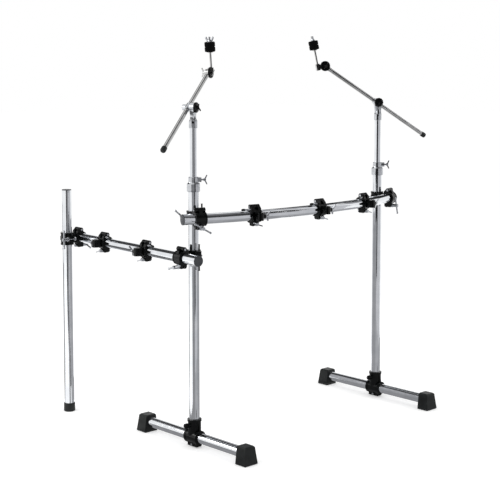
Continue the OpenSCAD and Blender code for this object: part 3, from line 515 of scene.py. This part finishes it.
@dataclass(frozen=True)
class BoomFittings:
    """The set screw of a tilter's socket with a black strip of painted shade for its slit, the cymbal felts and the
    thread of a cymbal rod.
    """

    name: str
    plan: RackPlan
    place: float
    heading: float
    flipped: bool
    reach: float
    lean: float
    pivot_height: float = 1229.0
    arm_rise: float = 33.5
    arm_offset: float = 19.0
    rod_forward: float = 28.0
    rod_radius: float = 4.0
    rod_top: float = 128.0
    felt_seat: float = 73.02
    felt_radius: float = 19.5
    felt_height: float = 18.0
    nut_seat: float = 109.34
    nut_top: float = 118.6
    screw_azimuth: float = -135.0
    screw_height: float = 1176.0
    socket_radius: float = 15.6

    def boom(self) -> Matrix:
        """Gives the boom's frame: +X is the heading of its arm."""
        mirror = Matrix.Diagonal((1, -1, 1, 1)) if self.flipped else Matrix.Identity(4)
        return self.plan.post(self.place) @ turned(self.heading, "Z") @ mirror

    def rod(self) -> Matrix:
        """Gives the frame of the cymbal rod, with the pivot's height as zero."""
        arm = self.boom() @ shift(0, self.arm_offset, self.pivot_height) @ turned(-self.arm_rise, "Y")
        return (arm @ shift(self.reach, 0, 0) @ turned(self.arm_rise + self.lean, "Y")
                @ shift(self.rod_forward, 0, 0))

    def build(self, workshop: Workshop) -> None:
        """Makes the pieces of one boom.

        Args:
            workshop: the maker of the finishes.
        """
        self.build_screw(workshop)
        self.build_wing_nut(workshop)
        self.build_thread(workshop)
        self.build_felts(workshop)

    def build_screw(self, workshop: Workshop) -> None:
        """Makes the black set screw, with its hexagon socket, and a thin black strip on the socket's face, painted
        shade where the slit that it closes would be; the socket itself is not cut.
        """
        out = self.plan.post(self.place) @ turned(self.screw_azimuth, "Z")
        seat = out @ shift(self.socket_radius - 0.4, 0, self.screw_height) @ turned(90, "Y")
        screw = Shape()
        screw.lathe(((3.7, -0.6), (3.7, 1.0), (3.2, 1.5), (2.2, 1.5)), seat, 36, ends=False)
        screw.lathe(((2.2, 1.5), (2.1, 0.2), (0.3, 0.1)), seat, 6)
        Fitting(f"{self.name}_set_screw", f"{self.name}_yoke", Slot.CLAMP, smooth_degrees=20).build(screw, workshop)
        # Painted shade: a black strip 4 mm wide laid on the socket's face for the slit's dark gap.
        slit = Shape()
        radii = ((15.6, 1179.2), (15.6, 1181.0), (11.6, 1188.2), (8.2, 1198.2), (7.5, 1203.0), (7.5, 1211.0))
        path = [Vector((radius, 0, height)) for radius, height in radii]
        slit.sweep(path, [Vector((1, 0, 0))] * len(path), ((-2, -0.9), (2, -0.9), (2, 0.12), (-2, 0.12)), out)
        Fitting(f"{self.name}_painted_slit_shade", f"{self.name}_yoke", Slot.CLAMP).build(slit, workshop)

    def build_wing_nut(self, workshop: Workshop) -> None:
        """Makes the forged wing nut: a waisted barrel and two cupped wings with round ears."""
        seat = self.rod() @ shift(0, 0, self.nut_seat) @ turned(90, "Z")
        bore = self.rod_radius + 0.06
        nut = Shape()
        nut.lathe(((bore, 0.5), (bore + 0.5, 0), (8.6, 0), (9, 0.5), (9, 1.5), (8.3, 2.2), (7.2, 3.4), (6.6, 6.2),
                   (6.3, 8.2), (5.6, 9), (bore + 0.5, 9), (bore, 8.5), (bore, 0.5)), seat, 40, ends=False)
        stations = ((5.0, 4.2, 3.6, 2.3), (7.4, 5.0, 3.9, 2.0), (9.8, 7.2, 4.1, 1.7), (11.6, 10.2, 4.3, 1.5),
                    (12.8, 13.4, 4.4, 1.45), (13.6, 16.2, 3.9, 1.4), (14.1, 18.2, 2.8, 1.25), (14.3, 19.4, 1.2, 0.8))
        for side in (0, 180):
            rings = []
            for k, (x, z, half_width, half_depth) in enumerate(stations):
                before, after = stations[max(k - 1, 0)], stations[min(k + 1, len(stations) - 1)]
                ahead = Vector((after[0] - before[0], 0, after[1] - before[1])).normalized()
                across = Vector((ahead.z, 0, -ahead.x))
                rings.append([Vector((x, 0, z)) + across * half_width * math.cos(a)
                              + Vector((0, half_depth * math.sin(a), 0)) for a in
                              (math.tau * i / 20 for i in range(20))])
            nut.loft(rings, seat @ turned(side, "Z"))
        Fitting(f"{self.name}_forged_nut", f"{self.name}_wing_nut", Slot.HARDWARE, f"{self.name}_wing_nut",
                smooth_degrees=50).build(nut, workshop)

    def build_thread(self, workshop: Workshop) -> None:
        """Makes the thread on the rod's top, above its wing nut."""
        pitch, steps = 1.25, 24
        turns = int((self.rod_top - 1.4 - self.nut_top) / pitch)
        path, outward = [], []
        for k in range(turns * steps + 1):
            angle = math.tau * k / steps
            radial = Vector((math.cos(angle), math.sin(angle), 0))
            path.append(radial * self.rod_radius + Vector((0, 0, self.nut_top + 0.6 + pitch * k / steps)))
            outward.append(radial)
        thread = Shape()
        thread.sweep(path, outward, ((-0.5, -0.2), (0.5, -0.2), (0.08, 0.42), (-0.08, 0.42)), self.rod())
        Fitting(f"{self.name}_rod_thread", f"{self.name}_rod", Slot.HARDWARE, smooth_degrees=60).build(thread, workshop)

    def build_felts(self, workshop: Workshop) -> None:
        """Makes the two felt washers with crowned faces, a rolled rim and loose fibres."""
        felts = Shape()
        dice = random.Random(self.name)
        for k in range(2):
            base = self.rod() @ shift(0, 0, self.felt_seat + k * (self.felt_height + 0.02))
            felts.loft(self.felt_rings(dice), base, ends=False)
            self.add_fibres(felts, base, dice)
        Fitting(f"{self.name}_felt_pair", f"{self.name}_rod", Slot.FELT, f"{self.name}_felts",
                smooth_degrees=80).build(felts, workshop)

    def felt_rings(self, dice: random.Random) -> list[list[Vector]]:
        """Gives the rings of one washer, each point a little off, as cut felt is.

        Args:
            dice: the seeded source of the unevenness.
        """
        bore, radius, height, segments = self.rod_radius + 0.3, self.felt_radius, self.felt_height, 72
        profile = [(bore, 0.4), (bore + 0.5, 0.05), (10, 0), (radius - 3.4, 0.05), (radius - 1.6, 0.5),
                   (radius - 0.5, 1.6), (radius, 3.4)]
        profile += [(radius + 0.12 * math.sin(math.pi * t / 6), 3.4 + (height - 6.8) * t / 6) for t in range(1, 6)]
        profile += [(r, height - z) for r, z in reversed(profile[:7])]
        profile += [(bore, height / 2), (bore, 0.4)]
        rings = []
        for radius_here, height_here in profile[:-1]:
            ring = []
            for i in range(segments):
                angle = math.tau * i / segments
                rough = dice.uniform(-0.16, 0.1) if radius_here > 8 else 0.0
                ring.append(Vector(((radius_here + rough) * math.cos(angle), (radius_here + rough) * math.sin(angle),
                                    height_here)))
            rings.append(ring)
        rings.append(rings[0])
        return rings

    def add_fibres(self, felts: Shape, base: Matrix, dice: random.Random) -> None:
        """Adds short loose fibres round the rim.

        Args:
            felts: the felts' mesh in the making.
            base: the washer's frame.
            dice: the seeded source of their places.
        """
        for _ in range(260):
            angle, height = dice.uniform(0, math.tau), dice.uniform(1.2, self.felt_height - 1.2)
            out = Vector((math.cos(angle), math.sin(angle), 0))
            along = Vector((-out.y, out.x, dice.uniform(-1.2, 1.2))).normalized()
            length, lift = dice.uniform(1.2, 3.0), dice.uniform(0.15, 0.5)
            foot = out * (self.felt_radius - 0.15) + Vector((0, 0, height))
            path = [foot, foot + along * length * 0.5 + out * lift, foot + along * length + out * lift * 0.4]
            felts.sweep(path, [out] * 3, ((-0.06, -0.04), (0.06, -0.04), (0.0, 0.06)), base)


@dataclass(frozen=True)
class PaintedReflectionCard:
    """A flat card that glows with its tone and shows only in glossy rays: a painted reflection, which lights nothing
    and casts no shadow.
    """

    name: str
    outline: tuple[Point, ...]
    tone: float

    def build(self) -> None:
        """Makes the card and hides it from all but glossy rays."""
        mesh = bpy.data.meshes.new(self.name)
        mesh.from_pydata(self.outline, [], [tuple(range(len(self.outline)))])
        card = bpy.data.objects.new(self.name, mesh)
        bpy.context.scene.collection.objects.link(card)
        material = bpy.data.materials.new(self.name)
        material.use_nodes = True
        tree = material.node_tree
        tree.nodes.remove(tree.nodes["Principled BSDF"])
        # The card glows with its tone: painted reflection on mirror surfaces, not a lamp.
        glow = add_node(tree, "ShaderNodeEmission", {"Color": (self.tone, self.tone, self.tone * 1.03, 1.0)})
        tree.links.new(glow.outputs["Emission"], tree.nodes["Material Output"].inputs["Surface"])
        mesh.materials.append(material)
        card.visible_camera = False
        card.visible_diffuse = False
        card.visible_shadow = False
        card.visible_transmission = False


@dataclass(frozen=True)
class SoftBox:
    """A square lamp that points at the rack."""

    name: str
    place: Point
    side: float
    watts: float
    aim: Point = (0.0, 0.0, 0.8)

    def build(self) -> None:
        """Makes the lamp."""
        data = bpy.data.lights.new(self.name, "AREA")
        data.shape = "SQUARE"
        data.size = self.side
        data.energy = self.watts
        lamp = bpy.data.objects.new(self.name, data)
        bpy.context.scene.collection.objects.link(lamp)
        lamp.location = self.place
        lamp.rotation_mode = "QUATERNION"
        lamp.rotation_quaternion = (Vector(self.aim) - Vector(self.place)).to_track_quat("-Z", "Y")


def around(azimuth: float, distance: float, height: float, centre: tuple[float, float] = (0.0, 0.0)) -> Point:
    """Gives a place round the rack.

    Args:
        azimuth: degrees round the centre; 0 lies on the audience's side and 90 to the right of it.
        distance: metres from the centre.
        height: metres above the floor.
        centre: the place on the floor that the azimuth turns about.

    Returns:
        The point in the rack's frame.
    """
    turn = math.radians(azimuth)
    return centre[0] + distance * math.sin(turn), centre[1] - distance * math.cos(turn), height


def square_on(low: Point, high: Point) -> tuple[Point, ...]:
    """Gives the rectangle between two corners that differ along two axes.

    Args:
        low: one corner.
        high: the corner across from it.

    Returns:
        The four corners in order.
    """
    if low[2] == high[2]:
        return low, (high[0], low[1], low[2]), high, (low[0], high[1], low[2])
    return low, (high[0], high[1], low[2]), high, (low[0], low[1], high[2])


@dataclass(frozen=True)
class PaintedPostLine:
    """A painted dark line: a strip that glows dark, lies on the floor from a post's foot and then stands up, and shows
    only in glossy rays.

    The post mirrors it over its whole height as one painted dark line.
    """

    name: str
    post: tuple[float, float]
    azimuth: float
    half_angle: float
    tone: float
    near: float = 0.1
    far: float = 2.2
    top: float = 3.0
    lift: float = 0.004
    foot: float = 0.0

    def cards(self) -> list[PaintedReflectionCard]:
        """Gives the lying and the standing card.

        Returns:
            The two cards.
        """
        low, high = self.azimuth - self.half_angle, self.azimuth + self.half_angle
        lying = (around(low, self.near, self.lift, self.post), around(low, self.far, self.lift, self.post),
                 around(high, self.far, self.lift, self.post), around(high, self.near, self.lift, self.post))
        standing = (around(low, self.far, self.foot, self.post), around(high, self.far, self.foot, self.post),
                    around(high, self.far, self.top, self.post), around(low, self.far, self.top, self.post))
        return [PaintedReflectionCard(f"{self.name}_floor", lying, self.tone),
                PaintedReflectionCard(f"{self.name}_wall", standing, self.tone)]


@dataclass
class Studio:
    """White studio: floor, sky, three soft lamps and glowing cards, seen only in glossy rays, that paint dark and grey
    reflections and floor shade on the chrome.
    """

    floor_tone: str = "#f4f4f4"
    floor_size: float = 60.0
    floor_lift: float = 0.37
    sky_for_light: float = 0.72
    camera_azimuth: float = -43.4
    screen_radius: float = 3.3
    screen_tone: float = 0.6
    apron_tone: float = 0.45
    posts: tuple[tuple[float, float], ...] = ((-0.497, -0.219), (0.503, -0.219), (-0.557, 0.479))
    painted_reflections: list[PaintedReflectionCard] = field(default_factory=list)
    lamps: list[SoftBox] = field(default_factory=list)

    def __post_init__(self) -> None:
        """Lists the painted reflection cards and the lamps."""
        mid, right, end = self.posts
        # Painted dark reflection lines down the posts: glowing strips seen only in glossy rays.
        for strip in (PaintedPostLine("painted_line_mid", mid, -58, 11, 0.01),
                      PaintedPostLine("painted_line_right_rear", right, -138, 9, 0.12, top=0.45),
                      PaintedPostLine("painted_line_right_left", right, -97, 48, 0.34, far=0.8, top=0.66, lift=0.007),
                      PaintedPostLine("painted_line_end", end, -18, 14, 0.3, far=1.0, lift=0.006),
                      PaintedPostLine("painted_line_end_right", end, 55, 40, 0.42, far=0.8, top=0.7, lift=0.008),
                      PaintedPostLine("painted_line_end_rear", end, -161, 8, 0.25, top=0.6)):
            self.painted_reflections.extend(strip.cards())
        # Two more painted dark lines on the middle post: standing glowing strips higher and lower down.
        self.painted_reflections.append(PaintedPostLine("painted_line_mid_upper", mid, -40, 38, 0.01, far=1.9, top=2.4, foot=0.72).cards()[1])
        self.painted_reflections.append(PaintedPostLine("painted_line_mid_middle", mid, -36, 32, 0.01, far=2.1, top=0.75, foot=0.1).cards()[1])
        # Painted grey reflections: glowing screens round the rack that only glossy rays see.
        for k, (start, stop) in enumerate(((-38, -8), (-8, 24), (24, 56))):
            wall = (around(start, self.screen_radius, 0.0), around(stop, self.screen_radius, 0.0),
                    around(stop, self.screen_radius, 4.2), around(start, self.screen_radius, 4.2))
            self.painted_reflections.append(PaintedReflectionCard(f"painted_grey_screen_{k}", wall, self.screen_tone))
        # Painted shade of the floor near the rack, and a painted grey floor further out, both seen only in glossy rays;
        # the floor itself stays pale.
        apron = tuple(around(angle, 1.55, 0.002) for angle in (-42, -10, 25, 60)) + (
            (right[0] + 0.1, right[1] + 0.08, 0.002), (mid[0] - 0.1, mid[1] + 0.05, 0.002))
        self.painted_reflections.append(PaintedReflectionCard("painted_shade_apron", apron, self.apron_tone))
        outer = tuple(around(angle, self.screen_radius, 0.001) for angle in (-40, -22, -4, 14, 32, 56)) + (
            (right[0] + 0.1, right[1] + 0.08, 0.001), (mid[0] - 0.1, mid[1] + 0.05, 0.001))
        self.painted_reflections.append(PaintedReflectionCard("painted_grey_floor", outer, self.screen_tone))
        # Painted dark and dim reflections over and round the rack: glowing cards seen only in glossy rays.
        for name, low, high, tone in (
                ("painted_dark_over_audience", (-0.4, -1.9, 1.32), (1.2, -1.9, 3.4), 0.06),
                ("painted_dark_before_boom", (0.0, -1.0, 1.2), (0.6, -1.0, 1.75), 0.01),
                ("painted_dim_ceiling_front", (-0.5, -1.9, 3.4), (1.4, 0.1, 3.4), 0.2),
                ("painted_dim_ceiling_right", (1.4, -1.1, 3.4), (2.5, 0.6, 3.4), 0.38),
                ("painted_dark_ceiling_rear", (-2.0, 1.95, 3.4), (3.0, 6.0, 3.4), 0.06),
                ("painted_dark_wall_right", (2.6, -0.5, 1.7), (2.6, 2.2, 3.7), 0.03),
                ("painted_dim_wall_right", (2.6, -1.4, 1.8), (2.6, -0.5, 2.6), 0.33),
                # Painted shadow of the floor under the front bar, the right side and the legs, seen only in glossy
                # rays.
                ("painted_shade_under_front", (-0.65, -0.45, 0.003), (0.65, -0.05, 0.003), 0.25),
                ("painted_shade_under_right", (0.65, -0.8, 0.003), (1.6, 0.1, 0.003), 0.4),
                ("painted_shade_under_mid_leg", (mid[0] - 0.16, mid[1] - 0.3, 0.005), (mid[0] + 0.05, mid[1] + 0.3, 0.005), 0.3),
                ("painted_shade_under_right_leg", (right[0] - 0.16, right[1] - 0.3, 0.009),
                 (right[0] + 0.05, right[1] + 0.3, 0.009), 0.3)):
            self.painted_reflections.append(PaintedReflectionCard(name, square_on(low, high), tone))
        self.lamps.append(SoftBox("softbox_left", around(self.camera_azimuth - 50, 4.2, 3.2), 2.4, 34))
        self.lamps.append(SoftBox("glint_left_rear", around(-128, 3.4, 1.9), 0.9, 20, (0.0, 0.0, 0.3)))
        self.lamps.append(SoftBox("strip_right", around(self.camera_azimuth + 75, 3.6, 2.6), 0.7, 16))

    def build(self) -> None:
        """Makes the floor, the sky, the painted reflection cards and the lamps."""
        self.make_floor()
        self.make_sky()
        # Each of these cards is a painted reflection, not a lamp: it glows and shows only in glossy rays.
        for flag in self.painted_reflections:
            flag.build()
            LOG.info("studio flag %s", flag.name)
        for lamp in self.lamps:
            lamp.build()
            LOG.info("studio lamp %s", lamp.name)
        scene = bpy.context.scene
        scene.view_settings.view_transform = "Standard"

    def make_floor(self) -> None:
        """Makes the pale floor, which keeps the rack's shadow."""
        half = self.floor_size / 2
        mesh = bpy.data.meshes.new("studio_floor")
        mesh.from_pydata([(-half, -half, 0), (half, -half, 0), (half, half, 0), (-half, half, 0)], [],
                         [(0, 1, 2, 3)])
        floor = bpy.data.objects.new("studio_floor", mesh)
        bpy.context.scene.collection.objects.link(floor)
        material = bpy.data.materials.new("studio_floor_paper")
        material.use_nodes = True
        tree = material.node_tree
        shader = tree.nodes["Principled BSDF"]
        shader.inputs["Base Color"].default_value = linear(self.floor_tone)
        shader.inputs["Roughness"].default_value = 0.9
        shader.inputs["Specular IOR Level"].default_value = 0.0
        lift = add_node(tree, "ShaderNodeEmission", {"Color": (1, 1, 1, 1), "Strength": self.floor_lift})
        both = add_node(tree, "ShaderNodeAddShader", {}, {0: shader.outputs["BSDF"], 1: lift.outputs["Emission"]})
        seen = self.seen_directly(tree)
        mix = add_node(tree, "ShaderNodeMixShader", {}, {0: seen, 1: shader.outputs["BSDF"],
                                                         2: both.outputs["Shader"]})
        tree.links.new(mix.outputs["Shader"], tree.nodes["Material Output"].inputs["Surface"])
        mesh.materials.append(material)

    def seen_directly(self, tree: bpy.types.NodeTree) -> bpy.types.NodeSocket:
        """Adds the test for rays that come from the lens or by way of metal.

        Args:
            tree: the node tree that gets the test.

        Returns:
            A socket that is 1 for camera, glossy and transmission rays.
        """
        path = add_node(tree, "ShaderNodeLightPath")
        first = add_node(tree, "ShaderNodeMath", {"operation": "MAXIMUM"},
                         {0: path.outputs["Is Camera Ray"], 1: path.outputs["Is Glossy Ray"]})
        second = add_node(tree, "ShaderNodeMath", {"operation": "MAXIMUM"},
                          {0: first.outputs["Value"], 1: path.outputs["Is Transmission Ray"]})
        return second.outputs["Value"]

    def make_sky(self) -> None:
        """Makes the world: white where it is seen, softer where it lights the rack."""
        world = bpy.data.worlds.new("studio_white")
        world.use_nodes = True
        tree = world.node_tree
        seen_sky = tree.nodes["Background"]
        seen_sky.inputs["Color"].default_value = (1, 1, 1, 1)
        seen_sky.inputs["Strength"].default_value = 1.0
        light_sky = add_node(tree, "ShaderNodeBackground", {"Color": (1, 1, 1, 1), "Strength": self.sky_for_light})
        mix = add_node(tree, "ShaderNodeMixShader", {},
                       {0: self.seen_directly(tree), 1: light_sky.outputs["Background"],
                        2: seen_sky.outputs["Background"]})
        tree.links.new(mix.outputs["Shader"], tree.nodes["World Output"].inputs["Surface"])
        bpy.context.scene.world = world


@dataclass(frozen=True)
class StudioCamera:
    """The camera, placed from the posts' feet and tops in the picture."""

    place: Point = (-3.2839, -3.4546, 1.3602)
    heading: float = 43.44
    dip: float = 5.35
    lens_mm: float = 86.73
    sensor_mm: float = 36.0
    rise: float = -0.12

    def build(self) -> None:
        """Makes the camera and sets it as the scene's."""
        data = bpy.data.cameras.new("studio_camera")
        data.lens = self.lens_mm
        data.sensor_width = self.sensor_mm
        data.shift_y = self.rise
        camera = bpy.data.objects.new("studio_camera", data)
        bpy.context.scene.collection.objects.link(camera)
        turn, dip = math.radians(self.heading), math.radians(self.dip)
        ahead = Vector((math.sin(turn) * math.cos(dip), math.cos(turn) * math.cos(dip), -math.sin(dip)))
        camera.location = self.place
        camera.rotation_mode = "QUATERNION"
        camera.rotation_quaternion = ahead.to_track_quat("-Z", "Y")
        bpy.context.scene.camera = camera


def main() -> None:
    """Builds the finishes, the fittings, the studio and the camera."""
    logging.basicConfig(level=logging.INFO, format="%(name)s: %(message)s")
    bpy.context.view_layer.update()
    workshop = Workshop()
    packed = PackedPieces()
    packed.read()
    packed.dress(workshop)
    plan = RackPlan()
    LegFittings(plan).build(workshop)
    for name, angle in (("front_a", -10.6), ("front_b", 0.3), ("front_c", 10.05)):
        AccessoryFittings(name, plan.front_clamp(angle)).build(workshop)
    for name, run in (("side_a", 501.0), ("side_b", 218.0)):
        AccessoryFittings(name, plan.side_clamp(run)).build(workshop)
    BoomFittings("left", plan, 0, 25.5, False, 222.0, -9.0).build(workshop)
    BoomFittings("right", plan, 1, 150.0, True, 268.0, 12.0).build(workshop)
    Studio().build()
    StudioCamera().build()


if __name__ == "__main__":
    main()
